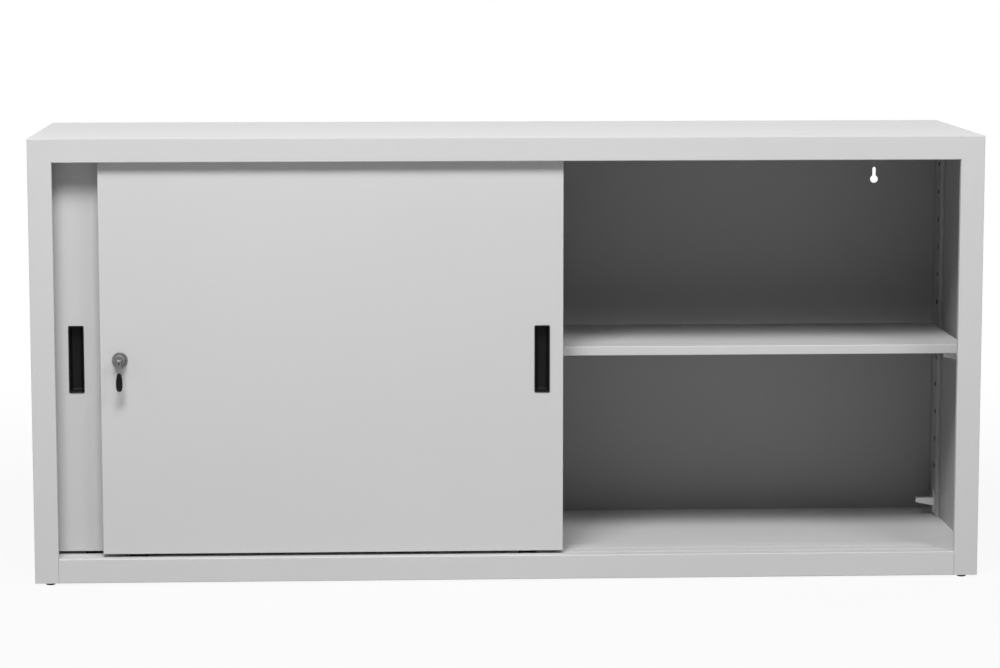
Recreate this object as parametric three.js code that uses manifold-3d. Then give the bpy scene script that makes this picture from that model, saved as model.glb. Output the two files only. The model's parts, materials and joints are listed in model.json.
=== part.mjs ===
// Steel cabinet with two sliding doors, in millimetres, +Z up, front towards -Y.
// The origin is on the floor, in the middle of the space that the cabinet and its key take up.

import * as THREE from 'three';
import { mergeVertices } from 'three/addons/utils/BufferGeometryUtils.js';
import Module from 'manifold-3d';

const wasm = await Module();
wasm.setup();

// Body: every panel is folded from one thickness of steel sheet
const bodyWidth = 1600;
const bodyHeight = 750;
const bodyDepth = 450;
const faceWidth = 40; // stiles and header, seen from the front
const sillHeight = 41;
const sheet = 1;
const bendRadius = 1.5; // outside of every bend in the sheet
const frameReturn = 12; // how far stiles and header turn back behind their face
const rearFlange = 15;
const baseFlange = 38; // inward fold at the foot of a side, which the feet go through
const baseSeamShare = 0.7; // of a side's thickness, left outside where its foot fold joins it
const floorDrop = 6; // floor below the top of the sill
const floorRearFold = 16;

// Clearances
const seatGap = 0.3; // between pieces that rest on or lie against each other
const runGap = 0.1; // round a pin that something turns on
const overrun = 2; // how far a cutting shape passes the faces that it opens

// Keyhole slots in the back panel, for hanging the cabinet on a wall
const keyholeInset = 113; // from the side of the body
const keyholeDrop = 107; // round mouth, below the top of the body
const keyholeMouthRadius = 7;
const keyholeNeckRadius = 3;
const keyholeRise = 22; // from the mouth up to the end of the neck

// Partition in the middle: two skins and a front edge, open at the back
const partitionWidth = 20;
const partitionFront = 95; // from the front of the body

// Slotted uprights on the sides
const uprightWidth = 40;
const uprightProud = 6.7; // how far the slotted face stands off the side
const frontUprightPlace = 125; // middle of the upright, from the front of the body
const rearUprightInset = 80; // middle of the upright, from the back of the body
const slotWidth = 16;
const slotHeight = 8;
const slotPitch = 50;
const slotFirst = 76; // lowest slot, above the foot of the body
const slotTopMargin = 60; // no slot nearer than this to the top of the body

// Shelves
const shelfRow = 6; // slots between the lowest one and the one that carries the shelves
const shelfThickness = 16;
const shelfFront = 100; // from the front of the body
const shelfRear = 50; // from the back of the body
const shelfReturn = 12;
const shelfEndGap = 2.5; // to the faces that the clips hang on

// Clips that hook into the slots
const clipWidth = 14;
const clipSheet = 1.5;
const clipReach = 32;
const clipSeatDrop = 8; // seat below the middle of its slot
const clipLegUp = 6;
const clipLegDown = 36;
const clipGussetDeep = 15; // rib under the seat, at the wall and at the tip
const clipGussetTip = 8;
const clipNeckHeight = 3;
const clipTongueHeight = 6.3;

// Doors: folded pans that hang from rollers
const doorDepth = 20;
const doorFace = 16; // front door's face, behind the front of the body
const doorSpacing = 30; // from the front door's face to the rear door's
const doorSillGap = 5;
const doorLip = 12;
const doorTuck = 5; // how far a closed door goes behind its stile
const doorOverlap = 26; // of the two closed doors, in the middle
const frontDoorStand = 74; // front door's left edge at rest, from the left stile
const rearDoorTuck = 4; // how far the rear door's left edge is behind its stile at rest
const ribHalfTop = 15; // stiffening rib behind each door's face
const ribHalfFoot = 30;
const ribDeep = 15;

// Door pulls
const pullWidth = 26;
const pullHeight = 114;
const pullRim = 2;
const pullRimThickness = 1.2;
const pullCupDepth = 14;
const pullWall = 1.5;
const pullInset = 35.7; // middle of the pull from the door's edge
const pullAbove = 375; // middle of the pull above the foot of the body
const pullCornerRadius = 1;

// Hangers, rollers and the track that they run in
const hangerInset = 60; // middle of the roller from the door's edge
const hangerWidth = 30;
const hangerSheet = 2;
const hangerFootDepth = 16;
const hangerStemAbove = 5; // stem above the middle of the axle
const axleRadius = 2.5;
const axleHeadRadius = 4;
const axleHeadThickness = 1;
const rollerRadius = 10;
const rollerWidth = 6;
const rollerRound = 1;
const rollerTopGap = 2.9;
const trackSheet = 1.5;
const trackDoorGap = 4.5;
const beadGap = 1; // hanger's stem to the bead of the rail
const beadThickness = 1;
const beadHeight = 2.5;
const rollerBeadGap = 0.5;
const rollerWebGap = 1.5;
const trackFrontMargin = 1; // plate of the upper track past its rails
const trackRearMargin = 20;
const stopLength = 20;
const stopHeight = 16;

// Lower track: a grooved strip that lies on the floor behind the sill
const lowerTrackGap = 1.7; // from the sill's drop to the strip, past the bend
const lowerTrackWall = 1.3; // strip in front of its front groove
const lowerTrackRear = 30; // strip behind its rear groove
const grooveWidth = 6;
const grooveDepth = 3;
const guideInset = 60;
const guideLength = 30;
const guideTongue = 5;
const guideGrooveGap = 0.7;
const guideHeadMargin = 4; // head wider than its tongue, all round
const guideHeadHeight = 6;

// Push lock in the front door
const lockInset = 33; // axis from the front door's left edge
const lockAbove = 378; // axis above the foot of the body
const lockFlangeLap = 1.8; // wider than the barrel, all round
const lockFlangeThickness = 3.7;
const lockBarrelWall = 1.4;
const lockBarrelRecess = 2; // end of the barrel inside the door's depth
const lockEndWall = 1.5;
const plungerWall = 3.2; // round the core
const plungerOut = 12; // stands out of the flange when unlocked, and its travel
const plungerEndGap = 1; // left in the barrel when it is pushed in
const plungerRound = 1;
const boltRadius = 4;
const boltInset = 3; // bolt's tip inside the door's depth when unlocked
const coreRadius = 6;
const coreLength = 14;
const coreProud = 0.5;
const nutRim = 3.8; // corners of the nut outside the barrel
const nutThickness = 3;
const catchSheet = 1.5;
const catchBase = 15;
const catchHalfHeight = 15;
const catchDoorGap = 2.5; // from the catch to the front door

// Folding key
const bladeThickness = 2;
const bladeHeight = 7;
const bladeInside = 11;
const keyHingeOut = 6; // hinge in front of the core
const keyEyeRadius = 3.5;
const keyPinRadius = 1.5;
const keyEarThickness = 1.5;
const keyEarDrop = 10;
const shankWidth = 8;
const shankThickness = 2;
const shankTop = 6; // below the hinge
const shankFoot = 26;
const bowTop = 20; // below the hinge
const bowWidth = 11;
const bowHeight = 31;
const bowThickness = 5;

// Feet: domed glides pressed into the sides
const footHeight = 4;
const footInset = 25; // from the side of the body
const footFrontPlace = 12; // from the front, and from the back
const footRadius = 9;
const footPadRadius = 6;
const footStemRadius = 4;
const footStemLength = 12;

// Counts
const roundSegments = 40;
const smallSegments = 24;
const domeSteps = 4;
const cornerSegments = 3;
const bendSegments = 3;

// Planes that several pieces share
const bodyBottom = footHeight;
const bodyTop = bodyBottom + bodyHeight;
const wallOut = bodyWidth / 2;
const wallIn = wallOut - sheet;
const openingHalf = wallOut - faceWidth;
const sillTop = bodyBottom + sillHeight;
const headerBottom = bodyTop - faceWidth;
const topUnder = bodyTop - sheet;
const floorTop = sillTop - floorDrop;
const backFace = bodyDepth - sheet - seatGap - sheet; // inner face of the back panel
const keyholeAcross = wallOut - keyholeInset;
const rearUprightPlace = bodyDepth - rearUprightInset;
const uprightFace = wallIn - seatGap - uprightProud;
const partitionHalf = partitionWidth / 2;
const doorWidth = openingHalf + doorTuck + doorOverlap / 2;
const frontDoorLeft = -openingHalf + frontDoorStand;
const rearDoorLeft = -openingHalf - rearDoorTuck;
const rearDoorFace = doorFace + doorSpacing;
const doorMiddle = doorFace + doorDepth / 2;
const sillDepth = doorMiddle - grooveWidth / 2 - lowerTrackWall - lowerTrackGap; // flat top of the sill
const lowerTrackBack = doorMiddle + doorSpacing + grooveWidth / 2 + lowerTrackRear;
const slotTopLimit = bodyTop - slotTopMargin;
const shelfSeat = bodyBottom + slotFirst + shelfRow * slotPitch - clipSeatDrop;
const trackTop = topUnder - seatGap;
const axleHeight = trackTop - trackSheet - rollerTopGap - rollerRadius;
const railTop = axleHeight - rollerRadius - seatGap;
const railUnder = railTop - trackSheet;
const doorTop = railUnder - trackDoorGap;
const doorBottom = sillTop + doorSillGap;
const rollerRear = -hangerSheet / 2 - beadGap - beadThickness - rollerBeadGap; // from the door's middle
const rollerMiddle = rollerRear - rollerWidth / 2;
const railWeb = rollerRear - rollerWidth - rollerWebGap;
const plungerRadius = coreRadius + seatGap + plungerWall;
const lockBarrelRadius = plungerRadius + seatGap + lockBarrelWall;
const lockFlangeRadius = lockBarrelRadius + lockFlangeLap;
const lockBarrelLength = doorDepth - lockBarrelRecess; // behind the door's face
const plungerFront = -lockFlangeThickness - seatGap - plungerOut;
const plungerRear = lockBarrelLength - lockEndWall - plungerOut - plungerEndGap;
const keyHingePlace = plungerFront - coreProud - keyHingeOut;
const frontMost = doorFace + keyHingePlace - keyEyeRadius;

// Materials, one new one for each mesh
const paint = () => new THREE.MeshStandardMaterial({ color: 0xcfd1d0, roughness: 0.5, metalness: 0 });
const innerPaint = () => new THREE.MeshStandardMaterial({ color: 0xc8cac9, roughness: 0.55, metalness: 0 });
const blackPlastic = () => new THREE.MeshStandardMaterial({ color: 0x151515, roughness: 0.6, metalness: 0 });
const greyPlastic = () => new THREE.MeshStandardMaterial({ color: 0xc4c6c5, roughness: 0.5, metalness: 0 });
const whiteNylon = () => new THREE.MeshStandardMaterial({ color: 0xe6e4dc, roughness: 0.4, metalness: 0 });
const zincSteel = () => new THREE.MeshStandardMaterial({ color: 0xb4b8bb, roughness: 0.4, metalness: 1 });
const polishedMetal = () => new THREE.MeshStandardMaterial({ color: 0xc9cacb, roughness: 0.2, metalness: 1 });
const rubber = () => new THREE.MeshStandardMaterial({ color: 0x1c1c1c, roughness: 0.85, metalness: 0 });

// A closed three.js geometry becomes a solid that can be joined and cut
function solid(geometry) {
  const bare = geometry.clone();
  bare.deleteAttribute('normal');
  bare.deleteAttribute('uv');
  const merged = mergeVertices(bare);
  const triangles = [];
  for (let i = 0; i < merged.index.count; i += 3) {
    const [a, b, c] = [0, 1, 2].map((k) => merged.index.getX(i + k));
    if (a !== b && b !== c && c !== a) triangles.push(a, b, c);
  }
  return new wasm.Manifold(new wasm.Mesh({
    numProp: 3,
    vertProperties: new Float32Array(merged.attributes.position.array),
    triVerts: new Uint32Array(triangles),
  }));
}

function geometryOf(body) {
  const found = body.getMesh();
  const geometry = new THREE.BufferGeometry();
  geometry.setAttribute('position', new THREE.BufferAttribute(new Float32Array(found.vertProperties), 3));
  geometry.setIndex(new THREE.BufferAttribute(new Uint32Array(found.triVerts), 1));
  const flat = geometry.toNonIndexed();
  flat.computeVertexNormals();
  return flat;
}

function join(...bodies) {
  return bodies.reduce((sum, body) => sum.add(body));
}

// Every corner of a geometry goes to the place that a rule gives for it
function placed(geometry, rule) {
  const corners = geometry.attributes.position;
  for (let i = 0; i < corners.count; i += 1) {
    corners.setXYZ(i, ...rule(corners.getX(i), corners.getY(i), corners.getZ(i)));
  }
  return solid(geometry);
}

function block([x0, x1], [y0, y1], [z0, z1]) {
  const unit = new THREE.BoxGeometry(1, 1, 1);
  return placed(unit, (x, y, z) => [x < 0 ? x0 : x1, y < 0 ? y0 : y1, z < 0 ? z0 : z1]);
}

function extruded(shape) {
  return new THREE.ExtrudeGeometry(shape, { depth: 1, bevelEnabled: false, curveSegments: cornerSegments });
}

// A shape drawn in Y and Z, carried from x0 to x1
function alongX(shape, [x0, x1]) {
  return placed(extruded(shape), (u, v, w) => [w > 0 ? x1 : x0, u, v]);
}

// A shape drawn in X and Z, carried from y0 to y1
function alongY(shape, [y0, y1]) {
  return placed(extruded(shape), (u, v, w) => [u, w > 0 ? y0 : y1, v]);
}

// A shape drawn in X and Y, carried from z0 to z1
function alongZ(shape, [z0, z1]) {
  return placed(extruded(shape), (u, v, w) => [u, v, w > 0 ? z1 : z0]);
}

// Turned piece: points are radius and place along Y, outer side in the direction of +Y
function turned(points, segments = roundSegments) {
  return solid(new THREE.LatheGeometry(points.map(([r, y]) => new THREE.Vector2(r, y)), segments));
}

function cylinderAlong(axis, radius, [from, to], segments = smallSegments) {
  const body = turned([[0, from], [radius, from], [radius, to], [0, to]], segments);
  if (axis === 'x') return body.rotate([0, 0, -90]);
  if (axis === 'z') return body.rotate([90, 0, 0]);
  return body;
}

function polygon(points) {
  return new THREE.Shape(points.map(([u, v]) => new THREE.Vector2(u, v)));
}

// Cross-section of folded sheet with square bends: a path of one face, and the thickness laid to its left
function foldedSheet(path, thickness) {
  const corners = path.map(([u, v]) => new THREE.Vector2(u, v));
  const normals = corners.slice(1).map((end, i) => {
    const along = end.clone().sub(corners[i]).normalize();
    return new THREE.Vector2(-along.y, along.x);
  });
  const face = [];
  const other = [];
  const put = (foot, normal, faceRadius) => {
    face.push(foot.clone().addScaledVector(normal, faceRadius));
    other.push(foot.clone().addScaledVector(normal, faceRadius + thickness));
  };
  put(corners[0], normals[0], 0);
  for (let i = 1; i < normals.length; i += 1) {
    const [before, after] = [normals[i - 1], normals[i]];
    const turnsLeft = before.cross(after) > 0;
    const outside = turnsLeft === thickness > 0;
    const radius = (turnsLeft ? -1 : 1) * (outside ? bendRadius : bendRadius - sheet);
    const centre = corners[i].clone().addScaledVector(before, -radius).addScaledVector(after, -radius);
    for (let step = 0; step <= bendSegments; step += 1) {
      const angle = (step / bendSegments) * Math.PI / 2;
      const normal = before.clone().multiplyScalar(Math.cos(angle)).addScaledVector(after, Math.sin(angle));
      put(centre, normal, radius);
    }
  }
  put(corners[corners.length - 1], normals[normals.length - 1], 0);
  return new THREE.Shape([...face, ...other.reverse()]);
}

// Cutter that rounds a square edge at u and v; the signs say which way the body lies from it
function edgeShape([u, v], [signU, signV]) {
  const points = [
    [bendRadius, 0],
    [bendRadius, -overrun],
    [-overrun, -overrun],
    [-overrun, bendRadius],
    [0, bendRadius],
  ];
  for (let step = 1; step < bendSegments; step += 1) {
    const angle = (step / bendSegments) * Math.PI / 2;
    points.push([bendRadius * (1 - Math.cos(angle)), bendRadius * (1 - Math.sin(angle))]);
  }
  return polygon(points.map(([a, b]) => [u + signU * a, v + signV * b]));
}

function roundedRectangle(width, height, radius) {
  const [w, h] = [width / 2, height / 2];
  const shape = new THREE.Shape();
  shape.moveTo(-w + radius, -h);
  shape.lineTo(w - radius, -h);
  shape.absarc(w - radius, -h + radius, radius, -Math.PI / 2, 0);
  shape.lineTo(w, h - radius);
  shape.absarc(w - radius, h - radius, radius, 0, Math.PI / 2);
  shape.lineTo(-w + radius, h);
  shape.absarc(-w + radius, h - radius, radius, Math.PI / 2, Math.PI);
  shape.lineTo(-w, -h + radius);
  shape.absarc(-w + radius, -h + radius, radius, Math.PI, Math.PI * 1.5);
  return shape;
}

function mesh(name, body, material, place = [0, 0, 0]) {
  const made = new THREE.Mesh(geometryOf(body), material);
  made.name = name;
  made.position.set(...place);
  return made;
}

// The eight long edges of a box, those along X and those along Z, rounded as bends are
function rounded(body, [x0, x1], [y0, y1], [z0, z1]) {
  const cutters = [];
  for (const [y, towardsY] of [[y0, 1], [y1, -1]]) {
    for (const [z, towardsZ] of [[z0, 1], [z1, -1]]) {
      cutters.push(alongX(edgeShape([y, z], [towardsY, towardsZ]), [x0 - overrun, x1 + overrun]));
    }
    for (const [x, towardsX] of [[x0, 1], [x1, -1]]) {
      cutters.push(alongZ(edgeShape([x, y], [towardsX, towardsY]), [z0 - overrun, z1 + overrun]));
    }
  }
  return cutters.reduce((rest, cutter) => rest.subtract(cutter), body);
}

// Top with its header, which butts between the stiles
function topPanel() {
  const headerHalf = openingHalf - seatGap;
  const header = foldedSheet([[frameReturn, headerBottom], [0, headerBottom], [0, bodyTop]], -sheet);
  const flangeHalf = wallOut - rearFlange - seatGap;
  const whole = join(
    block([-wallOut, wallOut], [0, bodyDepth], [topUnder, bodyTop]),
    alongX(header, [-headerHalf, headerHalf]),
    block([-flangeHalf, flangeHalf], [bodyDepth - sheet, bodyDepth], [bodyTop - rearFlange, bodyTop]),
  );
  const across = [-wallOut - overrun, wallOut + overrun];
  const plate = [topUnder - overrun, bodyTop + overrun];
  const cutters = [[0, 1], [bodyDepth, -1]].flatMap(([y, towards]) => [
    alongX(edgeShape([y, bodyTop], [towards, -1]), across),
    alongZ(edgeShape([wallOut, y], [-1, towards]), plate),
    alongZ(edgeShape([-wallOut, y], [1, towards]), plate),
  ]);
  return cutters.reduce((rest, cutter) => rest.subtract(cutter), whole);
}

// Side with its stile, its rear flange and the fold at its foot
function sidePanel(side) {
  const path = [
    [side * openingHalf, frameReturn],
    [side * openingHalf, 0],
    [side * wallOut, 0],
    [side * wallOut, bodyDepth],
    [side * (wallOut - rearFlange), bodyDepth],
  ];
  const skin = alongZ(foldedSheet(path, side * sheet), [bodyBottom, topUnder - seatGap]);
  const seam = sheet * baseSeamShare;
  const foldEnds = [side * (wallOut - seam), side * (wallOut - baseFlange)].sort((a, b) => a - b);
  const fold = block(foldEnds, [seam, bodyDepth - seam], [bodyBottom, bodyBottom + sheet]);
  const holes = footPlaces().map((y) =>
    cylinderAlong('z', footStemRadius + seatGap, [-overrun, bodyBottom + sheet + overrun])
      .translate([side * (wallOut - footInset), y, 0]));
  return holes.reduce((panel, hole) => panel.subtract(hole), skin.add(fold));
}

function footPlaces() {
  return [footFrontPlace, bodyDepth - footFrontPlace];
}

// Floor with its sill, which it drops down behind
function bottomPanel() {
  const sillHalf = openingHalf - seatGap;
  const sillEnd = sillDepth - bendRadius;
  const sill = foldedSheet([[sillDepth, bodyBottom], [0, bodyBottom], [0, sillTop], [sillEnd, sillTop]], -sheet);
  const floorBack = backFace - seatGap;
  const floor = foldedSheet([
    [frameReturn + seatGap, sillTop],
    [sillDepth, sillTop],
    [sillDepth, floorTop],
    [floorBack, floorTop],
    [floorBack, floorTop - floorRearFold],
  ], -sheet);
  const floorHalf = wallIn - seatGap;
  return join(alongX(sill, [-sillHalf, sillHalf]), alongX(floor, [-floorHalf, floorHalf]));
}

// Round mouth below, narrow neck above, cut through the back panel
function keyhole(side) {
  const through = [backFace - overrun, bodyDepth + overrun];
  const centre = [side * keyholeAcross, 0, bodyTop - keyholeDrop];
  const neckTop = keyholeRise - keyholeNeckRadius;
  return join(
    cylinderAlong('y', keyholeMouthRadius, through),
    block([-keyholeNeckRadius, keyholeNeckRadius], through, [0, neckTop]),
    cylinderAlong('y', keyholeNeckRadius, through).translate([0, 0, neckTop]),
  ).translate(centre);
}

function backPanel() {
  const half = wallIn - seatGap;
  const bottom = bodyBottom + sheet + seatGap;
  const plate = block([-half, half], [backFace, backFace + sheet], [bottom, topUnder - seatGap]);
  return plate.subtract(keyhole(-1)).subtract(keyhole(1));
}

function slotHeights() {
  const heights = [];
  for (let z = bodyBottom + slotFirst; z < slotTopLimit; z += slotPitch) heights.push(z);
  return heights;
}

// One row of slot cutters up a column, drawn from x0 to x1
function slotColumn([x0, x1], y) {
  const cutters = slotHeights().map((z) =>
    block([x0, x1], [y - slotWidth / 2, y + slotWidth / 2], [z - slotHeight / 2, z + slotHeight / 2]));
  return join(...cutters);
}

function centrePartition() {
  const path = [
    [-partitionHalf, backFace - seatGap],
    [-partitionHalf, partitionFront],
    [partitionHalf, partitionFront],
    [partitionHalf, backFace - seatGap],
  ];
  const skins = alongZ(foldedSheet(path, sheet), [floorTop + seatGap, topUnder - seatGap]);
  const across = [-partitionHalf - overrun, partitionHalf + overrun];
  return skins.subtract(slotColumn(across, frontUprightPlace)).subtract(slotColumn(across, rearUprightPlace));
}

function upright(side, place) {
  const foot = wallIn - seatGap;
  const path = [
    [side * foot, place - uprightWidth / 2],
    [side * uprightFace, place - uprightWidth / 2],
    [side * uprightFace, place + uprightWidth / 2],
    [side * foot, place + uprightWidth / 2],
  ];
  const channel = alongZ(foldedSheet(path, -side * sheet), [floorTop + seatGap, topUnder - seatGap]);
  const ends = [side * (uprightFace - overrun), side * foot].sort((a, b) => a - b);
  return channel.subtract(slotColumn(ends, place));
}

// Clip drawn at its slot's middle, with the face that it hangs on at x = 0 and its seat towards -X
function shelfClip() {
  const half = clipWidth / 2;
  const legFace = -seatGap;
  const legFront = legFace - clipSheet;
  const tip = legFront - clipReach;
  const behindFace = sheet + seatGap;
  const slotFoot = -slotHeight / 2 + seatGap;
  const neckTop = slotFoot + clipNeckHeight;
  const leg = block([legFront, legFace], [-half, half], [-clipLegDown, clipLegUp]);
  const seat = block([tip, legFace], [-half, half], [-clipSeatDrop - clipSheet, -clipSeatDrop]);
  const gusset = alongY(polygon([
    [legFace, -clipSeatDrop],
    [tip, -clipSeatDrop],
    [tip, -clipSeatDrop - clipGussetTip],
    [legFace, -clipSeatDrop - clipGussetDeep],
  ]), [-half, -half + clipSheet]);
  const neck = block([legFront, behindFace + clipSheet], [-half, half], [slotFoot, neckTop]);
  const tongue = block([behindFace, behindFace + clipSheet], [-half, half], [neckTop - clipTongueHeight, neckTop]);
  return join(leg, seat, gusset, neck, tongue);
}

// The same clip made for the other hand, so that its rib stays towards the front
function clipFor(side) {
  return side > 0 ? shelfClip() : shelfClip().mirror([1, 0, 0]);
}

// Folded tray that lies on four clips: open below, with a lip along its front and its back
function shelf([x0, x1]) {
  const bottom = shelfSeat + seatGap;
  const top = bottom + shelfThickness;
  const back = bodyDepth - shelfRear;
  const inside = [x0 + sheet, x1 - sheet];
  return rounded(block([x0, x1], [shelfFront, back], [bottom, top]), [x0, x1], [shelfFront, back], [bottom, top])
    .subtract(block(inside, [shelfFront + sheet, back - sheet], [bottom + sheet, top - sheet]))
    .subtract(block(inside, [shelfFront + shelfReturn, back - shelfReturn], [bottom - overrun, bottom + overrun]));
}

// Pull, drawn round its own middle on the door's face
function doorPull() {
  const rim = alongY(roundedRectangle(pullWidth, pullHeight, pullCornerRadius), [-seatGap - pullRimThickness, -seatGap]);
  const cup = alongY(pullCup(0), [-seatGap, pullCupDepth]);
  const hollow = alongY(
    roundedRectangle(pullInnerWidth(), pullInnerHeight(), pullCornerRadius),
    [-seatGap - pullRimThickness - overrun, pullCupDepth - pullWall],
  );
  return rim.add(cup).subtract(hollow);
}

function pullCup(gap) {
  return roundedRectangle(pullWidth - 2 * (pullRim - gap), pullHeight - 2 * (pullRim - gap), pullCornerRadius);
}

function pullInnerWidth() {
  return pullWidth - 2 * (pullRim + pullWall);
}

function pullInnerHeight() {
  return pullHeight - 2 * (pullRim + pullWall);
}

// Places along a door, measured from its left edge
const hangerPlaces = [hangerInset, doorWidth - hangerInset];
const guidePlaces = [guideInset, doorWidth - guideInset];

// Door pan, drawn from its left edge and its face: open at the back inside a lip
function doorPanel(pullPlace, lockPlace) {
  const box = [[0, doorWidth], [0, doorDepth], [doorBottom, doorTop]];
  const pan = rounded(block(...box), ...box)
    .subtract(block(
      [sheet, doorWidth - sheet],
      [sheet, doorDepth - sheet],
      [doorBottom + sheet, doorTop - sheet],
    ))
    .subtract(block(
      [doorLip, doorWidth - doorLip],
      [doorDepth - sheet - overrun, doorDepth + overrun],
      [doorBottom + doorLip, doorTop - doorLip],
    ));
  const throughFace = [-overrun, sheet + overrun];
  const cuts = [alongY(pullCup(seatGap), throughFace).translate([pullPlace, 0, bodyBottom + pullAbove])];
  for (const x of guidePlaces) {
    const halfLength = guideLength / 2 + seatGap;
    const halfTongue = guideTongue / 2 + seatGap;
    cuts.push(block(
      [x - halfLength, x + halfLength],
      [doorDepth / 2 - halfTongue, doorDepth / 2 + halfTongue],
      [doorBottom - overrun, doorBottom + sheet + overrun],
    ));
  }
  if (lockPlace !== null) {
    const hole = cylinderAlong('y', lockBarrelRadius + seatGap, throughFace, roundSegments);
    cuts.push(hole.translate([lockPlace, 0, bodyBottom + lockAbove]));
  }
  return cuts.reduce((rest, cut) => rest.subtract(cut), pan);
}

// Stiffening rib of hat section, fixed behind the middle of a door's face
function doorRib() {
  const face = sheet + seatGap;
  const path = [
    [-ribHalfFoot, face],
    [-ribHalfTop, face],
    [-ribHalfTop, face + ribDeep],
    [ribHalfTop, face + ribDeep],
    [ribHalfTop, face],
    [ribHalfFoot, face],
  ];
  return alongZ(foldedSheet(path, sheet), [doorBottom + sheet + seatGap, doorTop - sheet - seatGap]);
}

// Bracket on top of a door with its riveted axle, drawn round the roller's middle plane in the door
function hanger() {
  const halfWidth = hangerWidth / 2;
  const foot = doorTop + seatGap;
  const stem = block(
    [-halfWidth, halfWidth],
    [-hangerSheet / 2, hangerSheet / 2],
    [foot, axleHeight + hangerStemAbove],
  );
  const base = block([-halfWidth, halfWidth], [-hangerFootDepth / 2, hangerFootDepth / 2], [foot, foot + hangerSheet]);
  const rollerFront = rollerRear - rollerWidth;
  const axle = turned([
    [0, rollerFront - runGap - axleHeadThickness],
    [axleHeadRadius, rollerFront - runGap - axleHeadThickness],
    [axleHeadRadius, rollerFront - runGap],
    [axleRadius, rollerFront - runGap],
    [axleRadius, hangerSheet / 2],
    [0, hangerSheet / 2],
  ], smallSegments).translate([0, 0, axleHeight]);
  return join(stem, base, axle);
}

function roller() {
  const half = rollerWidth / 2;
  const bore = axleRadius + runGap;
  return turned([
    [bore, -half],
    [rollerRadius - rollerRound, -half],
    [rollerRadius, -half + rollerRound],
    [rollerRadius, half - rollerRound],
    [rollerRadius - rollerRound, half],
    [bore, half],
    [bore, -half],
  ]);
}

// Two rails hanging from one plate; each is a web with a lip and a bead at the lip's edge
function upperTrack() {
  const plateUnder = trackTop - trackSheet;
  const beadRear = -hangerSheet / 2 - beadGap;
  const beadFront = beadRear - beadThickness;
  const rails = [doorMiddle, doorMiddle + doorSpacing].flatMap((middle) => [
    [middle + railWeb - trackSheet, plateUnder],
    [middle + railWeb - trackSheet, railUnder],
    [middle + beadRear, railUnder],
    [middle + beadRear, railTop + beadHeight],
    [middle + beadFront, railTop + beadHeight],
    [middle + beadFront, railTop],
    [middle + railWeb, railTop],
    [middle + railWeb, plateUnder],
  ]);
  const plateFront = doorMiddle + railWeb - trackSheet - trackFrontMargin;
  const plateBack = doorMiddle + doorSpacing + trackRearMargin;
  const outline = [
    [plateFront, trackTop],
    [plateFront, plateUnder],
    ...rails,
    [plateBack, plateUnder],
    [plateBack, trackTop],
  ];
  return alongX(polygon(outline), [-wallIn + seatGap, wallIn - seatGap]);
}

// Rubber stop that lies in a rail, between its web and its bead
function trackStop() {
  const front = railWeb + seatGap;
  const back = rollerRear + rollerBeadGap - seatGap;
  const bottom = railTop + seatGap;
  return alongX(
    roundedRectangle(back - front, stopHeight, pullCornerRadius),
    [-stopLength / 2, stopLength / 2],
  ).translate([0, (front + back) / 2, bottom + stopHeight / 2]);
}

// Where a stop lies so that the roller meets it when the door's edge is tucked behind its stile
const stopPlace = openingHalf + doorTuck - hangerInset + rollerRadius + seatGap + stopLength / 2;

function lowerTrack() {
  const half = wallIn - seatGap;
  const strip = block([-half, half], [sillDepth + lowerTrackGap, lowerTrackBack], [floorTop + seatGap, sillTop]);
  const grooves = [doorMiddle, doorMiddle + doorSpacing].map((middle) => block(
    [-half - overrun, half + overrun],
    [middle - grooveWidth / 2, middle + grooveWidth / 2],
    [sillTop - grooveDepth, sillTop + overrun],
  ));
  return grooves.reduce((rest, groove) => rest.subtract(groove), strip);
}

// Plastic guide: its head lies inside the door, its tongue goes down into the groove
function doorGuide() {
  const headFoot = doorBottom + sheet + seatGap;
  const head = block(
    [-guideLength / 2 - guideHeadMargin, guideLength / 2 + guideHeadMargin],
    [-guideTongue / 2 - guideHeadMargin, guideTongue / 2 + guideHeadMargin],
    [headFoot, headFoot + guideHeadHeight],
  );
  const tongue = block(
    [-guideLength / 2, guideLength / 2],
    [-guideTongue / 2, guideTongue / 2],
    [sillTop - grooveDepth + guideGrooveGap, headFoot + guideHeadHeight],
  );
  return head.add(tongue);
}

// Lock pieces are drawn round the lock's axis, with y = 0 on the door's face
function lockHousing() {
  const front = -seatGap - lockFlangeThickness;
  const bore = plungerRadius + seatGap;
  const boltHole = boltRadius + seatGap;
  const boreEnd = lockBarrelLength - lockEndWall;
  return turned([
    [boltHole, boreEnd],
    [bore, boreEnd],
    [bore, front],
    [lockFlangeRadius - plungerRound, front],
    [lockFlangeRadius, front + plungerRound],
    [lockFlangeRadius, -seatGap],
    [lockBarrelRadius, -seatGap],
    [lockBarrelRadius, lockBarrelLength],
    [boltHole, lockBarrelLength],
    [boltHole, boreEnd],
  ]);
}

function lockNut() {
  const hexagon = 6;
  const radius = lockBarrelRadius + nutRim;
  const outer = turned([[0, 0], [radius, 0], [radius, nutThickness], [0, nutThickness]], hexagon);
  const bore = cylinderAlong('y', lockBarrelRadius + seatGap, [-overrun, nutThickness + overrun], roundSegments);
  return outer.subtract(bore).translate([0, sheet + seatGap, 0]);
}

function lockPlunger() {
  const coreBore = coreRadius + seatGap;
  const boreEnd = plungerFront + coreLength;
  const boltTip = doorDepth - boltInset;
  return turned([
    [0, boreEnd],
    [coreBore, boreEnd],
    [coreBore, plungerFront],
    [plungerRadius - plungerRound, plungerFront],
    [plungerRadius, plungerFront + plungerRound],
    [plungerRadius, plungerRear],
    [boltRadius, plungerRear],
    [boltRadius, boltTip],
    [0, boltTip],
  ]);
}

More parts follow.
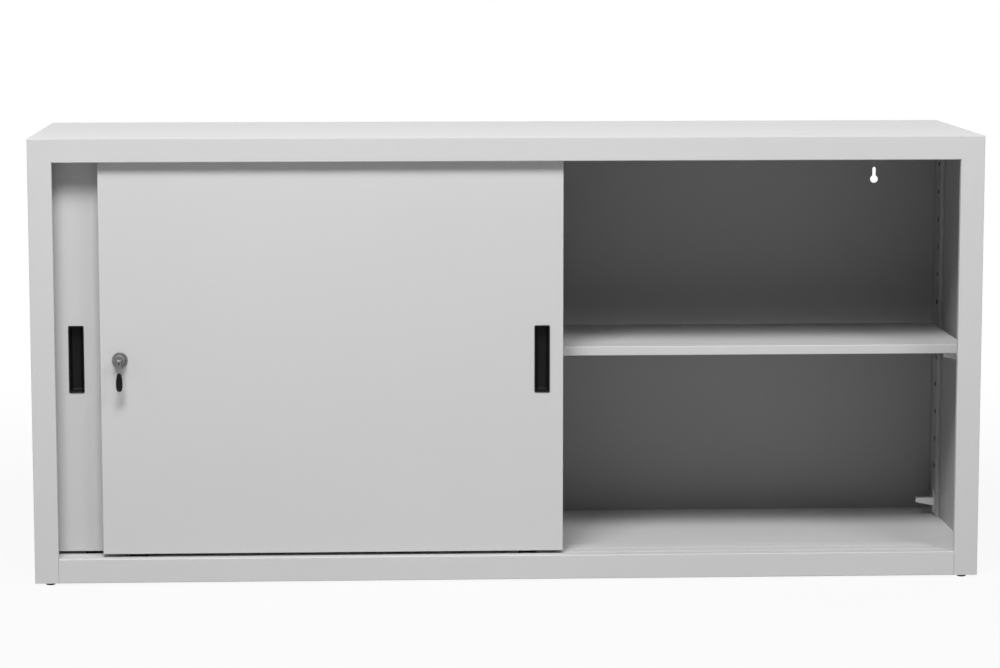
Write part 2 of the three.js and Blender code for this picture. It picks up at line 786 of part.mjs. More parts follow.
function lockCore() {
  const front = plungerFront - coreProud;
  const body = cylinderAlong('y', coreRadius, [front, plungerFront + coreLength - seatGap]);
  const halfThick = bladeThickness / 2 + seatGap;
  const halfHigh = bladeHeight / 2 + seatGap;
  const keyway = block(
    [-halfThick, halfThick],
    [front - overrun, front + bladeInside + seatGap],
    [-halfHigh, halfHigh],
  );
  return body.subtract(keyway);
}

function keyBlade() {
  const half = bladeThickness / 2;
  const inner = plungerFront - coreProud + bladeInside;
  const bar = block([-half, half], [keyHingePlace, inner], [-bladeHeight / 2, bladeHeight / 2]);
  const eye = cylinderAlong('x', keyEyeRadius, [-half, half]).translate([0, keyHingePlace, 0]);
  const hole = cylinderAlong('x', keyPinRadius + runGap, [-half - overrun, half + overrun]);
  return bar.add(eye).subtract(hole.translate([0, keyHingePlace, 0]));
}

// Metal part that hangs from the key's hinge by two ears and carries the plastic bow
function keyShank() {
  const earIn = bladeThickness / 2 + seatGap;
  const earOut = earIn + keyEarThickness;
  const halfThick = shankThickness / 2;
  const ears = [[earIn, earOut], [-earOut, -earIn]].map((across) => join(
    block(across, [-keyEyeRadius, keyEyeRadius], [-keyEarDrop, 0]),
    cylinderAlong('x', keyEyeRadius, across),
  ));
  const plate = block([-shankWidth / 2, shankWidth / 2], [-halfThick, halfThick], [-shankFoot, -shankTop]);
  const hole = cylinderAlong('x', keyPinRadius + runGap, [-earOut - overrun, earOut + overrun]);
  return join(...ears, plate).subtract(hole);
}

function keyPin() {
  const half = bladeThickness / 2 + seatGap + keyEarThickness + seatGap;
  return cylinderAlong('x', keyPinRadius, [-half, half]);
}

function keyBow() {
  const halfThick = bowThickness / 2;
  const body = alongY(roundedRectangle(bowWidth, bowHeight, bowWidth / 2 - seatGap), [-halfThick, halfThick])
    .translate([0, 0, -bowTop - bowHeight / 2]);
  const halfPlate = shankThickness / 2 + seatGap;
  const pocket = block(
    [-shankWidth / 2 - seatGap, shankWidth / 2 + seatGap],
    [-halfPlate, halfPlate],
    [-shankFoot - seatGap, -bowTop + overrun],
  );
  return body.subtract(pocket);
}

// Angle at the rear door's right edge, which the bolt stands beside when both doors are closed
function lockCatch() {
  const right = doorWidth - seatGap;
  const reach = doorSpacing - doorDepth - catchDoorGap;
  const height = [bodyBottom + lockAbove - catchHalfHeight, bodyBottom + lockAbove + catchHalfHeight];
  return join(
    block([right - catchBase, right], [-seatGap - catchSheet, -seatGap], height),
    block([right - catchSheet, right], [-reach, -seatGap], height),
  );
}

// Foot: a dome under the side's fold, with a stem pressed up through it
function foot() {
  const domeTop = bodyBottom - seatGap;
  const dome = Array.from({ length: domeSteps + 1 }, (_, i) => {
    const angle = (i / domeSteps) * Math.PI / 2;
    return [footPadRadius + (footRadius - footPadRadius) * Math.sin(angle), -domeTop * (1 - Math.cos(angle))];
  });
  const points = [[0, 0], ...dome, [footStemRadius, -domeTop], [footStemRadius, -domeTop - footStemLength]];
  points.push([0, -domeTop - footStemLength]);
  return turned(points.reverse(), smallSegments).rotate([-90, 0, 0]);
}

// The lock's own group, placed on the front door
function lockGroup() {
  const group = new THREE.Group();
  group.position.set(lockInset, 0, bodyBottom + lockAbove);
  const grip = new THREE.Group();
  grip.position.set(0, keyHingePlace, 0);
  grip.add(
    mesh('key_shank', keyShank(), polishedMetal()),
    mesh('key_pin', keyPin(), polishedMetal()),
    mesh('key_bow', keyBow(), blackPlastic()),
  );
  group.add(
    mesh('lock_housing', lockHousing(), polishedMetal()),
    mesh('lock_nut', lockNut(), zincSteel()),
    mesh('lock_plunger', lockPlunger(), polishedMetal()),
    mesh('lock_core', lockCore(), polishedMetal()),
    mesh('key_blade', keyBlade(), polishedMetal()),
    grip,
  );
  return group;
}

// A door with its rib, pull, hangers, rollers and guides
function slidingDoor(name, left, face, pullPlace, lockPlace) {
  const door = new THREE.Group();
  door.position.set(left, face, 0);
  const middle = doorDepth / 2;
  door.add(
    mesh(`${name}_door_panel`, doorPanel(pullPlace, lockPlace), paint()),
    mesh(`${name}_door_rib`, doorRib(), innerPaint(), [doorWidth / 2, 0, 0]),
    mesh(`${name}_door_pull`, doorPull(), blackPlastic(), [pullPlace, 0, bodyBottom + pullAbove]),
  );
  ['left', 'right'].forEach((hand, i) => {
    door.add(
      mesh(`${name}_${hand}_hanger`, hanger(), zincSteel(), [hangerPlaces[i], middle, 0]),
      mesh(`${name}_${hand}_roller`, roller(), whiteNylon(), [hangerPlaces[i], middle + rollerMiddle, axleHeight]),
      mesh(`${name}_${hand}_guide`, doorGuide(), blackPlastic(), [guidePlaces[i], middle, 0]),
    );
  });
  return door;
}

// Fixed pieces that come once on the left and once on the right
function sidePieces(hand, side) {
  const group = new THREE.Group();
  group.add(
    mesh(`${hand}_side_panel`, sidePanel(side), paint()),
    mesh(`${hand}_front_upright`, upright(side, frontUprightPlace), innerPaint()),
    mesh(`${hand}_rear_upright`, upright(side, rearUprightPlace), innerPaint()),
    mesh(`front_${hand}_stop`, trackStop(), rubber(), [side * stopPlace, doorMiddle, 0]),
    mesh(`rear_${hand}_stop`, trackStop(), rubber(), [side * stopPlace, doorMiddle + doorSpacing, 0]),
  );
  const footX = side * (wallOut - footInset);
  footPlaces().forEach((y, i) => {
    group.add(mesh(`${hand}_${['front', 'rear'][i]}_foot`, foot(), blackPlastic(), [footX, y, 0]));
  });
  return group;
}

// A shelf between the partition and one side, with the four clips under it
function shelfPieces(hand, side) {
  const group = new THREE.Group();
  const ends = [side * (partitionHalf + shelfEndGap), side * (uprightFace - shelfEndGap)].sort((a, b) => a - b);
  group.add(mesh(`${hand}_shelf`, shelf(ends), paint()));
  const slot = shelfSeat + clipSeatDrop;
  const rows = { front: frontUprightPlace, rear: rearUprightPlace };
  for (const [row, y] of Object.entries(rows)) {
    group.add(
      mesh(`${hand}_shelf_${row}_outer_clip`, clipFor(side), zincSteel(), [side * uprightFace, y, slot]),
      mesh(`${hand}_shelf_${row}_inner_clip`, clipFor(-side), zincSteel(), [side * partitionHalf, y, slot]),
    );
  }
  return group;
}

const cabinet = new THREE.Group();
cabinet.add(
  mesh('top_panel', topPanel(), paint()),
  mesh('bottom_panel', bottomPanel(), paint()),
  mesh('back_panel', backPanel(), innerPaint()),
  mesh('centre_partition', centrePartition(), innerPaint()),
  mesh('upper_track', upperTrack(), zincSteel()),
  mesh('lower_track', lowerTrack(), greyPlastic()),
  mesh('spare_shelf_clip', clipFor(1), zincSteel(), [uprightFace, rearUprightPlace, bodyBottom + slotFirst]),
  sidePieces('left', -1),
  sidePieces('right', 1),
  shelfPieces('left', -1),
  shelfPieces('right', 1),
);

const frontDoor = slidingDoor('front', frontDoorLeft, doorFace, doorWidth - pullInset, lockInset);
frontDoor.add(lockGroup());
const rearDoor = slidingDoor('rear', rearDoorLeft, rearDoorFace, pullInset, null);
rearDoor.add(mesh('lock_catch', lockCatch(), zincSteel()));

const model = new THREE.Group();
const centred = new THREE.Group();
centred.position.y = -(bodyDepth + frontMost) / 2;
centred.add(cabinet, frontDoor, rearDoor);
model.add(centred);

export default model;
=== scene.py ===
"""Steel cabinet with two sliding doors: surfaces, small parts, light, camera. Metres, +Z up, front at -Y."""
import json
import math

import bpy
from mathutils import Euler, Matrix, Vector


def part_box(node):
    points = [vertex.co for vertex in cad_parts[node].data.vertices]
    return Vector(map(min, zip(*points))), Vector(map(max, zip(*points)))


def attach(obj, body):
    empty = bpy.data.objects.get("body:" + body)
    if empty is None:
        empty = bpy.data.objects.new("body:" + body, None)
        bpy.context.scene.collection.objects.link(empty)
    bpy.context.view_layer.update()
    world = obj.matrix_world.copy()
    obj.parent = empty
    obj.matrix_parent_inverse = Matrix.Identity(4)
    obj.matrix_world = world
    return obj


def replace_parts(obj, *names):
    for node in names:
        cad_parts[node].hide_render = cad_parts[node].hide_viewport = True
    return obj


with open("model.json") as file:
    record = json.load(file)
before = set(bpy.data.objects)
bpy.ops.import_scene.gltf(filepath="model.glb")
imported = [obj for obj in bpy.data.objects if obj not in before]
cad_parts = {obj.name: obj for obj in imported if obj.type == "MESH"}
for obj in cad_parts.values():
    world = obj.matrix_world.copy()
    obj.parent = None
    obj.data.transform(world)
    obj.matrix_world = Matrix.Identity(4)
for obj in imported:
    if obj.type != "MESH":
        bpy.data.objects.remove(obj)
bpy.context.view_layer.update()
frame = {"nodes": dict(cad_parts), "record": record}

record = frame["record"]
nodes = frame["nodes"]
scene = bpy.context.scene

MM = 0.001

# Cabinet's own measures, taken from the model
top_low, top_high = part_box("top_panel")
side_low, side_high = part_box("right_side_panel")
HALF_WIDTH = top_high.x
TOP = top_high.z
FRONT = top_low.y
FOOT = side_low.z
FACE_WIDTH = side_high.x - side_low.x  # header and stiles
BEND = 1.5 * MM  # outer radius of a folded sheet

# Surfaces and edges
JOIN_DISTANCE = 0.002 * MM  # triangle corners nearer than this become one
SHARP_ANGLE = math.radians(33)  # an edge that turns more stays sharp
FLAT_ANGLE = math.radians(0.05)  # triangles that turn less become one face
EDGE_ANGLE = math.radians(50)  # an edge that turns more gets rounded
EDGE_ROUND = 0.3 * MM
EDGE_STEPS = 2
SMALL_EDGE_ROUND = {
    "key_blade": 0.15 * MM,
    "key_shank": 0.25 * MM,
    "key_pin": 0.15 * MM,
    "lock_core": 0.2 * MM,
}
AREA_WEIGHT = 100  # large faces decide the shading
FLAT_FACED = ("front_door_panel", "rear_door_panel")

# Painted shade: a darker copy of the outer paint, on the faces of the outer sheets that look at the
# cabinet's middle
PAINTED_SHADE_PARTS = ("left_side_panel", "right_side_panel", "top_panel")
INSIDE_CENTRE = (0, 0, (FOOT + TOP) / 2)
INSIDE_REACH = 0.25  # a face nearer to the middle than this keeps the outer paint
INSIDE_FRONT = FRONT + 20 * MM  # so does all that stands before this

# Weld filler over the seams at the top corners
FILL_PROUD = 0.02 * MM
FILL_DEPTH = 0.7 * MM
FILL_ON_HEADER = 1.4 * MM
FILL_ON_STILE = 2.2 * MM
FILL_FROM_EDGE = 1.6 * MM
FILL_BELOW_BEND = 0.6 * MM
FILL_ARC = math.radians(40)  # how far it follows the bend at the top
FILL_ARC_STEPS = 5

# Key's grip: inset of its outline in mm, and share of half its thickness
GRIP_SIDE = ((3.6, 0.62), (2.6, 0.72), (1.9, 0.93), (1.3, 1.0), (0.75, 0.96), (0.3, 0.82), (0.0, 0.5))
GRIP_POINTS = 40
GRIP_POWER_ACROSS = 0.62  # below 1 the outline is squarer than an ellipse
GRIP_POWER_UP = 0.72
GRIP_TAPER = 0.26  # share of the width that is lost towards the top

# Floor and world
FLOOR_HALF = 30.0
FLOOR_GREY = 0.50
FLOOR_WHITE = 0.92  # share of plain white that the camera sees near the cabinet
FADE_START = 0.9  # distance from which the floor runs out to white
FADE_END = 2.6
WORLD_LEVEL = 0.03

# Lamps: name, place, width, height, power in watts
AIM_FRONT = (0, 0, 0.4)
FRONT_LAMPS = (
    ("key_left", (-1.05, -2.88, 3.83), 1.1, 1.3, 103),
    ("key_middle", (-0.09, -2.60, 4.19), 1.1, 1.1, 96),
    ("fill_front", (2.20, -2.62, 3.48), 1.2, 1.2, 40),
    ("side_left", (-3.78, -1.76, 2.34), 1.0, 1.4, 14),
    ("side_right", (3.78, -1.76, 2.34), 1.0, 1.4, 12),
)
AIM_BACK = (0, 0, 0.35)
BACK_LAMP_ASIDE = 4.9
BACK_LAMP_BEHIND = 4.9
BACK_LAMP_UP = 1.4
BACK_LAMP_WIDTH = 3.0
BACK_LAMP_HEIGHT = 1.6
BACK_LAMP_POWER = 120

# Camera, found from the cabinet's corners in the photo, with its turns in degrees
CAMERA_PLACE = (-0.2462, -5.3865, 1.0877)
CAMERA_DOWN = 7.316
CAMERA_ROLL = 0.023
CAMERA_RIGHT = 2.559
LENS = 111.762
SENSOR_WIDTH = 36


# Materials
class Tree:
    """A small helper round a material's node tree."""

    def __init__(self, name):
        self.material = bpy.data.materials.new(name)
        self.material.use_nodes = True
        self.tree = self.material.node_tree
        self.shader = self.tree.nodes["Principled BSDF"]
        self.coordinates = self.tree.nodes.new("ShaderNodeTexCoord").outputs["Object"]

    def node(self, kind, inputs=None, **settings):
        made = self.tree.nodes.new(kind)
        for key, value in settings.items():
            setattr(made, key, value)
        for key, value in (inputs or {}).items():
            self.feed(made.inputs[key], value)
        return made

    def feed(self, socket, value):
        if isinstance(value, bpy.types.NodeSocket):
            self.tree.links.new(value, socket)
        else:
            socket.default_value = value

    def noise(self, scale, detail=3.0, roughness=0.5, coordinates=None):
        return self.node("ShaderNodeTexNoise", {
            "Vector": coordinates or self.coordinates,
            "Scale": scale,
            "Detail": detail,
            "Roughness": roughness,
        }).outputs["Fac"]

    def stretched(self, scale):
        return self.node("ShaderNodeMapping", {"Vector": self.coordinates, "Scale": scale}).outputs["Vector"]

    def mapped(self, value, low, high, start=0.25, end=0.75):
        return self.node("ShaderNodeMapRange", {
            "Value": value,
            "From Min": start,
            "From Max": end,
            "To Min": low,
            "To Max": high,
        }).outputs["Result"]

    def calculated(self, operation, a, b):
        return self.node("ShaderNodeMath", {0: a, 1: b}, operation=operation).outputs[0]

    def mixed(self, factor, a, b):
        made = self.node("ShaderNodeMix", data_type="RGBA")
        self.feed(made.inputs["Factor"], factor)
        self.feed(made.inputs["A"], a)
        self.feed(made.inputs["B"], b)
        return made.outputs["Result"]

    def bump(self, height, strength, distance, under=None):
        inputs = {"Height": height, "Strength": strength, "Distance": distance}
        if under is not None:
            inputs["Normal"] = under
        return self.node("ShaderNodeBump", inputs).outputs["Normal"]

    def shade(self, **values):
        for key, value in values.items():
            self.feed(self.shader.inputs[key.replace("_", " ")], value)


def grey(level, warm=0.0):
    return (level * (1 + warm), level, level * (1 - warm), 1.0)


def powder_coat(name, level, rough, gloss, spread=0.015, tint=0.002, rubbed=0.05):
    """Powder coat: small cells in the surface, slow changes of tone, a little rubbed in patches."""
    t = Tree(name)
    slow = t.noise(scale=2.2, detail=2.0)
    cells = t.noise(scale=620.0, detail=2.0, roughness=0.45)
    ripple = t.noise(scale=95.0, detail=2.0)
    patches = t.noise(scale=14.0, detail=5.0, roughness=0.65, coordinates=t.stretched((1.0, 1.0, 0.35)))
    rubs = t.calculated("MULTIPLY", t.mapped(patches, low=0.0, high=1.0, start=0.60, end=0.78), rubbed)
    darker = grey(level * (1 - spread), tint)
    lighter = grey(level * (1 + spread), -tint)
    tone = t.mixed(t.mapped(slow, low=0.0, high=1.0), darker, lighter)
    tone = t.mixed(rubs, tone, grey(level * 0.9))
    tone = t.mixed(t.mapped(cells, low=0.0, high=0.05), tone, grey(level * 0.8))
    bumps = t.bump(cells, strength=0.25, distance=0.08 * MM)
    bumps = t.bump(ripple, strength=0.10, distance=0.12 * MM, under=bumps)
    t.shade(
        Base_Color=tone,
        Roughness=t.calculated("SUBTRACT", t.mapped(ripple, low=rough - 0.03, high=rough + 0.03), rubs),
        Normal=bumps,
        Specular_IOR_Level=gloss,
    )
    return t.material


def moulded(name, level, rough, warm=0.0, gloss=0.5, marks=0.015):
    """Moulded plastic with a fine eroded grain and faint flow marks."""
    t = Tree(name)
    fine = t.noise(scale=1260.0, roughness=0.6)
    flow = t.noise(scale=60.0, detail=2.0, coordinates=t.stretched((1.0, 1.0, 0.2)))
    darker = grey(level * (1 - marks), warm)
    lighter = grey(level * (1 + marks), warm)
    t.shade(
        Base_Color=t.mixed(t.mapped(flow, low=0.0, high=1.0), darker, lighter),
        Roughness=t.mapped(fine, low=rough - 0.05, high=rough + 0.06),
        Normal=t.bump(fine, strength=0.3, distance=0.06 * MM),
        Specular_IOR_Level=gloss,
    )
    return t.material


def plated(name, level, rough, along, tint=(1.0, 1.0, 1.0)):
    """Plated metal with fine draw lines along one direction."""
    t = Tree(name)
    lines = t.noise(scale=900.0, roughness=0.7, coordinates=t.stretched(along))
    cloud = t.noise(scale=45.0)
    dark = tuple(level * 0.86 * c for c in tint) + (1.0,)
    light = tuple(level * 1.06 * c for c in tint) + (1.0,)
    t.shade(
        Base_Color=t.mixed(t.mapped(cloud, low=0.0, high=1.0), dark, light),
        Metallic=1.0,
        Roughness=t.mapped(lines, low=rough - 0.06, high=rough + 0.09),
        Normal=t.bump(lines, strength=0.12, distance=0.05 * MM),
    )
    return t.material


def rubbery(name, level, dusty_level):
    """Black rubber with dust in patches."""
    t = Tree(name)
    fine = t.noise(scale=1500.0, detail=4.0, roughness=0.6)
    patches = t.noise(scale=130.0, detail=4.0, roughness=0.7)
    dust = t.mapped(patches, low=0.0, high=1.0, start=0.5, end=0.8)
    t.shade(
        Base_Color=t.mixed(dust, grey(level), grey(dusty_level)),
        Roughness=t.mapped(fine, low=0.72, high=0.9),
        Normal=t.bump(fine, strength=0.4, distance=0.1 * MM),
    )
    return t.material


FINISH = {
    "painted_steel": powder_coat("light_grey_powder_coat", level=0.60, rough=0.40, gloss=0.36),
    # painted_steel_inside is painted shade: the same powder coat, darker and less glossy, for the pieces
    # inside and the inner faces of the outer sheets
    "painted_steel_inside": powder_coat("light_grey_powder_coat_painted_shade", level=0.39, rough=0.45, gloss=0.25),
    "black_plastic": moulded("black_moulded_plastic", level=0.006, rough=0.50, gloss=0.12, marks=0.12),
    "grey_plastic": moulded("light_grey_plastic", level=0.62, rough=0.42),
    "white_nylon": moulded("natural_nylon", level=0.72, rough=0.36, warm=0.03),
    "zinc_plated_steel": plated("bright_zinc", 0.80, 0.42, along=(1.0, 1.0, 0.06), tint=(0.99, 1.0, 1.01)),
    "polished_metal": plated("nickel_plate", 0.21, 0.55, along=(0.08, 1.0, 1.0)),
    "rubber": rubbery("black_rubber", level=0.018, dusty_level=0.045),
}


# Surfaces of the model's pieces
def new_group(name):
    """An empty geometry group, with its input and its output."""
    group = bpy.data.node_groups.new(name, "GeometryNodeTree")
    for way in ("INPUT", "OUTPUT"):
        group.interface.new_socket("Geometry", in_out=way, socket_type="NodeSocketGeometry")
    return group, group.nodes.new("NodeGroupInput"), group.nodes.new("NodeGroupOutput")


def surface_group():
    """Joins the triangles' corners, shades every gentle bend smooth and keeps the real edges sharp."""
    group, start, end = new_group("even_surface")
    add = group.nodes.new
    link = group.links.new
    bare = add("GeometryNodeRemoveAttribute")
    bare.inputs["Name"].default_value = "custom_normal"
    merge = add("GeometryNodeMergeByDistance")
    merge.inputs["Distance"].default_value = JOIN_DISTANCE
    angle = add("GeometryNodeInputMeshEdgeAngle")
    sharper = add("FunctionNodeCompare")
    sharper.operation = "GREATER_THAN"
    sharper.inputs["B"].default_value = SHARP_ANGLE
    store = add("GeometryNodeStoreNamedAttribute")
    store.data_type = "BOOLEAN"
    store.domain = "EDGE"
    store.inputs["Name"].default_value = "sharp_edge"
    smooth = add("GeometryNodeSetShadeSmooth")
    link(start.outputs[0], bare.inputs["Geometry"])
    link(bare.outputs["Geometry"], merge.inputs["Geometry"])
    link(angle.outputs["Unsigned Angle"], sharper.inputs["A"])
    link(merge.outputs["Geometry"], store.inputs["Geometry"])
    link(sharper.outputs["Result"], store.inputs["Value"])
    link(store.outputs["Geometry"], smooth.inputs["Geometry"])
    link(smooth.outputs["Geometry"], end.inputs[0])
    return group


def painted_shade_group():
    """Gives painted shade, a darker copy of the paint, to the faces of the outer sheets that look into the
    cabinet.
    """
    group, start, end = new_group("inner_painted_shade")
    add = group.nodes.new
    link = group.links.new
    place = add("GeometryNodeInputPosition")
    normal = add("GeometryNodeInputNormal")
    inward = add("ShaderNodeVectorMath")
    inward.operation = "SUBTRACT"
    inward.inputs[0].default_value = INSIDE_CENTRE
    facing = add("ShaderNodeVectorMath")
    facing.operation = "DOT_PRODUCT"
    looks_in = add("FunctionNodeCompare")
    looks_in.operation = "GREATER_THAN"
    looks_in.inputs["B"].default_value = INSIDE_REACH
    parts = add("ShaderNodeSeparateXYZ")
    behind = add("FunctionNodeCompare")
    behind.operation = "GREATER_THAN"
    behind.inputs["B"].default_value = INSIDE_FRONT
    both = add("FunctionNodeBooleanMath")
    # painted shade: the darker copy of the paint
    paint = add("GeometryNodeSetMaterial")
    paint.inputs["Material"].default_value = FINISH["painted_steel_inside"]
    link(place.outputs[0], inward.inputs[1])
    link(inward.outputs[0], facing.inputs[0])
    link(normal.outputs[0], facing.inputs[1])
    link(facing.outputs["Value"], looks_in.inputs["A"])
    link(place.outputs[0], parts.inputs[0])
    link(parts.outputs["Y"], behind.inputs["A"])
    link(looks_in.outputs["Result"], both.inputs[0])
    link(behind.outputs["Result"], both.inputs[1])
    link(start.outputs[0], paint.inputs["Geometry"])
    link(both.outputs[0], paint.inputs["Selection"])
    link(paint.outputs["Geometry"], end.inputs[0])
    return group


def finish_node(name, obj, even_surface, inner_painted_shade):
    """Evens out a piece's triangles and rounds its edges."""
    obj.modifiers.new("even_surface", "NODES").node_group = even_surface
    if name in FLAT_FACED:
        whole = obj.modifiers.new("whole_faces", "DECIMATE")
        whole.decimate_type = "DISSOLVE"
        whole.angle_limit = FLAT_ANGLE
    # painted shade: faces that look into the cabinet get the darker copy of the paint
    if name in PAINTED_SHADE_PARTS:
        obj.modifiers.new("inner_painted_shade", "NODES").node_group = inner_painted_shade
    bevel = obj.modifiers.new("edges", "BEVEL")
    bevel.width = SMALL_EDGE_ROUND.get(name, EDGE_ROUND)
    bevel.segments = EDGE_STEPS
    bevel.limit_method = "ANGLE"
    bevel.angle_limit = EDGE_ANGLE
    bevel.use_clamp_overlap = True
    normals = obj.modifiers.new("normals", "WEIGHTED_NORMAL")
    normals.keep_sharp = True
    normals.weight = AREA_WEIGHT


def finish_nodes():
    """Gives every piece of the model its material and its even surface."""
    even_surface = surface_group()
    inner_painted_shade = painted_shade_group()
    slots = {row["node"]: row["material_slot"] for row in record["subparts"]}
    for name, obj in nodes.items():
        obj.data.materials.clear()
        obj.data.materials.append(FINISH[slots[name]])
        finish_node(name, obj, even_surface, inner_painted_shade)


# Lofted pieces
def rounded_outline(width, height, radius, steps=6):
    """Corners of a rounded rectangle in X and Z, anticlockwise."""
    points = []
    for cx, cz, first in ((1, -1, -90), (1, 1, 0), (-1, 1, 90), (-1, -1, 180)):
        for i in range(steps + 1):
            a = math.radians(first + 90 * i / steps)
            points.append((
                cx * (width / 2 - radius) + radius * math.cos(a),
                cz * (height / 2 - radius) + radius * math.sin(a),
            ))
    return points


def loft(name, rings, slot, body, smooth_angle=40):
    """A closed skin over rings of points, with the first and the last ring capped."""
    count = len(rings[0])
    corners = [tuple(point) for ring in rings for point in ring]
    faces = [tuple(range(count))[::-1]]
    for r in range(len(rings) - 1):
        for i in range(count):
            j = (i + 1) % count
            faces.append((r * count + i, r * count + j, (r + 1) * count + j, (r + 1) * count + i))
    last = (len(rings) - 1) * count
    faces.append(tuple(range(last, last + count)))
    data = bpy.data.meshes.new(name)
    data.from_pydata(corners, [], faces)
    data.validate()
    data.update()
    data.shade_smooth()
    data.set_sharp_from_angle(angle=math.radians(smooth_angle))
    data.materials.append(FINISH[slot])
    made = bpy.data.objects.new(name, data)
    scene.collection.objects.link(made)
    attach(made, body)
    return made


def corner_fills(side_name, side):
    """Fills the seam between header and stile, and the one between the stile's end and the top plate."""
    seam = HALF_WIDTH - FACE_WIDTH
    inner = seam - FILL_ON_HEADER
    outer = seam + FILL_ON_STILE
    bend_foot = TOP - BEND
    skin = FRONT - FILL_PROUD
    deep = FRONT + FILL_DEPTH

    across = ((inner, skin), (outer, skin), (outer, deep), (inner, deep))
    heights = (TOP - FACE_WIDTH + FILL_FROM_EDGE, bend_foot)
    upright = [[(side * x, y, z) for x, y in across[::side]] for z in heights]
    loft(side_name + "_corner_fill", upright, "painted_steel", "cabinet_shell")

    radius = BEND + FILL_PROUD
    foot = bend_foot - FILL_BELOW_BEND
    section = [(deep, foot), (skin, foot)]
    for step in range(FILL_ARC_STEPS + 1):
        a = FILL_ARC * step / FILL_ARC_STEPS
        section.append((FRONT + BEND - radius * math.cos(a), bend_foot + radius * math.sin(a)))
    section.append((deep, section[-1][1]))
    ends = sorted((side * inner, side * (HALF_WIDTH - FILL_FROM_EDGE)), reverse=True)
    level = [[(x, y, z) for y, z in section] for x in ends]
    loft(side_name + "_top_fill", level, "painted_steel", "cabinet_shell")


def door_pull(name, node, body):
    """Moulded finger pull: a rounded rim on the door and a tapered cup with a rounded floor behind it."""
    low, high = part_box(node)
    centre_x = (low.x + high.x) / 2
    centre_z = (low.z + high.z) / 2
    width = high.x - low.x
    height = high.z - low.z
    depth = (high.y - low.y) / MM
    # Inset from the rim's edge and place behind the rim's front, in mm
    outside = [(4.5, depth), (2.9, depth - 0.1), (2.2, depth - 0.8), (2.0, depth - 2.0), (2.0, 1.2)]
    rim = [(0.0, 1.2), (0.0, 0.55), (0.1, 0.2), (0.4, 0.0), (1.9, 0.0), (2.4, 0.15), (2.7, 0.6)]
    cup = [(3.0, 2.0), (3.6, depth - 5.5), (4.2, depth - 3.6), (5.4, depth - 2.6), (7.2, depth - 2.0)]
    rings = []
    for inset_mm, back_mm in outside + rim + cup:
        inset = inset_mm * MM
        radius = max(2.2 * MM - inset * 0.35, 1.1 * MM)
        outline = rounded_outline(width - 2 * inset, height - 2 * inset, radius)
        rings.append([(centre_x + x, low.y + back_mm * MM, centre_z + z) for x, z in outline])
    made = loft(name, rings, "black_plastic", body)
    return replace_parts(made, node)


def key_bow_piece():
    """Plastic grip of the key: wider below, rounded all round, with a shallow thumb dish on both faces."""
    low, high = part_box("key_bow")
    centre = (low + high) / 2
    half_width = (high.x - low.x) / 2
    half_height = (high.z - low.z) / 2
    half_depth = (high.y - low.y) / 2

    def ring(inset_mm, depth_share):
        points = []
        for i in range(GRIP_POINTS):
            a = 2 * math.pi * i / GRIP_POINTS
            x = math.copysign(abs(math.cos(a)) ** GRIP_POWER_ACROSS, math.cos(a))
            z = math.copysign(abs(math.sin(a)) ** GRIP_POWER_UP, math.sin(a))
            taper = 1.0 - GRIP_TAPER * max(0.0, z)
            points.append((
                centre.x + x * taper * (half_width - inset_mm * MM),
                centre.y + depth_share * half_depth,
                centre.z + z * (half_height - inset_mm * MM),
            ))
        return points

    rings = [ring(inset_mm, share) for inset_mm, share in GRIP_SIDE]
    rings += [ring(inset_mm, -share) for inset_mm, share in reversed(GRIP_SIDE)]
    made = loft("key_grip_moulding", rings, "black_plastic", "key_grip", smooth_angle=60)
    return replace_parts(made, "key_bow")


# Floor, light and camera
def white_for_camera(tree, shader, strength):
    """Mixes a shader with plain white, by a strength of 0 to 1, where the camera or a mirror sees it."""
    path = tree.nodes.new("ShaderNodeLightPath")
    seen = path.outputs["Is Camera Ray"]
    for other in ("Is Glossy Ray", "Is Transmission Ray"):
        either = tree.nodes.new("ShaderNodeMath")
        either.operation = "MAXIMUM"
        tree.links.new(seen, either.inputs[0])
        tree.links.new(path.outputs[other], either.inputs[1])
        seen = either.outputs[0]
    share = tree.nodes.new("ShaderNodeMath")
    share.operation = "MULTIPLY"
    tree.links.new(seen, share.inputs[0])
    if isinstance(strength, bpy.types.NodeSocket):
        tree.links.new(strength, share.inputs[1])
    else:
        share.inputs[1].default_value = strength
    white = tree.nodes.new("ShaderNodeEmission")
    mix = tree.nodes.new("ShaderNodeMixShader")
    tree.links.new(share.outputs[0], mix.inputs[0])
    tree.links.new(shader, mix.inputs[1])
    tree.links.new(white.outputs[0], mix.inputs[2])
    return mix.outputs[0]


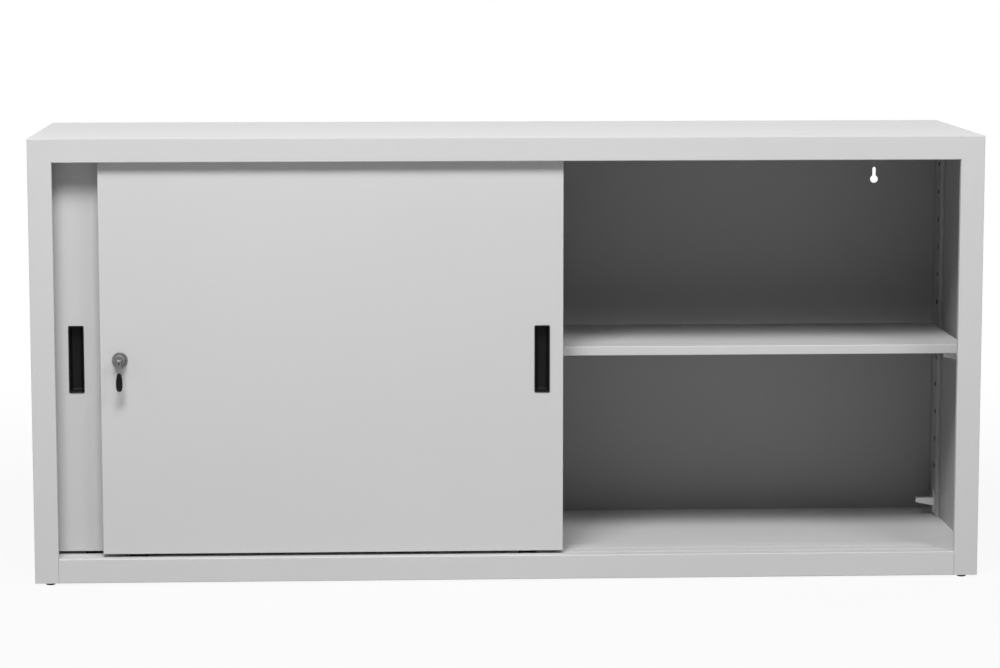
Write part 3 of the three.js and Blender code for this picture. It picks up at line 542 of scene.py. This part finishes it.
def studio_floor():
    """Plain floor that shows the cabinet's shadow and runs out to white."""
    half = FLOOR_HALF
    corners = [(-half, -half, 0), (half, -half, 0), (half, half, 0), (-half, half, 0)]
    data = bpy.data.meshes.new("studio_floor")
    data.from_pydata(corners, [], [(0, 1, 2, 3)])
    made = bpy.data.objects.new("studio_floor", data)
    scene.collection.objects.link(made)
    material = bpy.data.materials.new("studio_floor")
    material.use_nodes = True
    tree = material.node_tree
    tree.nodes.remove(tree.nodes["Principled BSDF"])
    diffuse = tree.nodes.new("ShaderNodeBsdfDiffuse")
    diffuse.inputs["Color"].default_value = grey(FLOOR_GREY)
    place = tree.nodes.new("ShaderNodeTexCoord").outputs["Object"]
    length = tree.nodes.new("ShaderNodeVectorMath")
    length.operation = "LENGTH"
    tree.links.new(place, length.inputs[0])
    fade = tree.nodes.new("ShaderNodeMapRange")
    fade.interpolation_type = "SMOOTHSTEP"
    fade.inputs["From Min"].default_value = FADE_START
    fade.inputs["From Max"].default_value = FADE_END
    fade.inputs["To Min"].default_value = FLOOR_WHITE
    fade.inputs["To Max"].default_value = 1.0
    tree.links.new(length.outputs["Value"], fade.inputs["Value"])
    shown = white_for_camera(tree, diffuse.outputs[0], fade.outputs["Result"])
    tree.links.new(shown, tree.nodes["Material Output"].inputs["Surface"])
    data.materials.append(material)


def studio_world():
    """Faint even light from all round, which the camera sees as white."""
    world = bpy.data.worlds.new("studio")
    scene.world = world
    world.use_nodes = True
    tree = world.node_tree
    background = tree.nodes["Background"]
    background.inputs["Color"].default_value = grey(1)
    background.inputs["Strength"].default_value = WORLD_LEVEL
    shown = white_for_camera(tree, background.outputs[0], 1.0)
    tree.links.new(shown, tree.nodes["World Output"].inputs["Surface"])


def lamp(name, place, target, width, height, power):
    data = bpy.data.lights.new(name, "AREA")
    data.shape = "RECTANGLE"
    data.size = width
    data.size_y = height
    data.energy = power
    made = bpy.data.objects.new(name, data)
    made.location = place
    made.rotation_euler = (Vector(target) - Vector(place)).to_track_quat("-Z", "Y").to_euler()
    scene.collection.objects.link(made)
    return made


def studio_lamps():
    """Lamps before the cabinet, and one behind it on each side that no glossy surface mirrors."""
    for name, place, width, height, power in FRONT_LAMPS:
        lamp(name, place, AIM_FRONT, width, height, power)
    for side_name, side in (("left", -1), ("right", 1)):
        place = (side * BACK_LAMP_ASIDE, BACK_LAMP_BEHIND, BACK_LAMP_UP)
        name = "fill_" + side_name
        behind = lamp(name, place, AIM_BACK, BACK_LAMP_WIDTH, BACK_LAMP_HEIGHT, BACK_LAMP_POWER)
        behind.visible_glossy = False


def photo_camera():
    data = bpy.data.cameras.new("camera")
    data.sensor_width = SENSOR_WIDTH
    data.lens = LENS
    made = bpy.data.objects.new("camera", data)
    made.location = CAMERA_PLACE
    turns = (90 - CAMERA_DOWN, CAMERA_ROLL, -CAMERA_RIGHT)
    made.rotation_euler = Euler([math.radians(turn) for turn in turns], "XYZ")
    scene.collection.objects.link(made)
    scene.camera = made


finish_nodes()
corner_fills("left", -1)
corner_fills("right", 1)
door_pull("front_pull_moulding", "front_door_pull", "front_door")
door_pull("rear_pull_moulding", "rear_door_pull", "rear_door")
key_bow_piece()
studio_floor()
studio_world()
studio_lamps()
photo_camera()

scene.view_settings.view_transform = "Standard"
